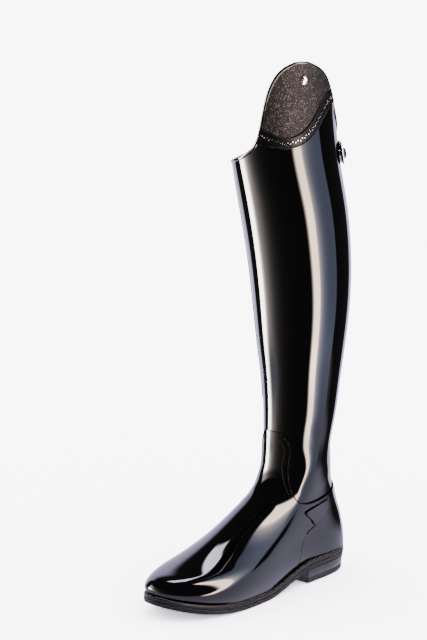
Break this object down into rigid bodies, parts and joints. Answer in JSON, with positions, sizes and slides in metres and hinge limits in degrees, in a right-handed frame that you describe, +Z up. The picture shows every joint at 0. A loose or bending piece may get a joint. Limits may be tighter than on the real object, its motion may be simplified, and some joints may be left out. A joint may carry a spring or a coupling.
{
  "type": "dress riding boot",
  "caption": "Tall left riding boot in patent leather with an arched flap collar, back zip, welted sole and low stacked heel.",
  "frame": {"origin": "centre of the heel's tread, on the floor", "axes": "+Z up along the shaft, -Y toward the toe, +X toward the outer side of the foot"},
  "size_m": [0.1072, 0.2776, 0.545],
  "materials": {
    "patent_leather": "black patent, high gloss",
    "calf_leather": "black smooth calf, matt",
    "glitter_fabric": "dark grey glitter fabric",
    "welt_leather": "dark brown edge-finished leather",
    "sole_rubber": "black rubber, satin",
    "heel_leather": "black stacked leather, edge-painted",
    "insole_leather": "tan leather",
    "zip_tape": "black woven tape",
    "zip_coil": "black nylon coil",
    "nickel": "polished nickel"
  },
  "bodies": {
    "boot": {"upper": "patent_leather", "vamp": "patent_leather", "counter_outer": "patent_leather", "counter_inner": "patent_leather", "heel_band": "patent_leather", "spur_rest_outer": "patent_leather", "spur_rest_inner": "patent_leather", "zip_facing_outer": "patent_leather", "zip_facing_inner": "patent_leather", "calf_panel": "calf_leather", "glitter_panel": "glitter_fabric", "flap_crescent": "patent_leather", "zip_tape": "zip_tape", "zip_coil": "zip_coil", "snap_strap": "patent_leather", "snap_socket": "nickel", "snap_cap": "nickel", "flap_stud": "nickel", "stud_rivet": "nickel", "zip_slider": "nickel", "outsole": "sole_rubber", "insole": "insole_leather", "welt": "welt_leather", "heel_block": "heel_leather", "heel_lift": "sole_rubber"},
    "zip_pull": {"pull_link": "nickel", "pull_tab": "calf_leather"}
  },
  "joints": [
    {"name": "zip_pull_swing", "type": "hinge", "parent": "boot", "child": "zip_pull", "pos_m": [0, 0.00566, 0.4327], "axis": [1, 0, 0], "range_deg": [0, 120]}
  ]
}
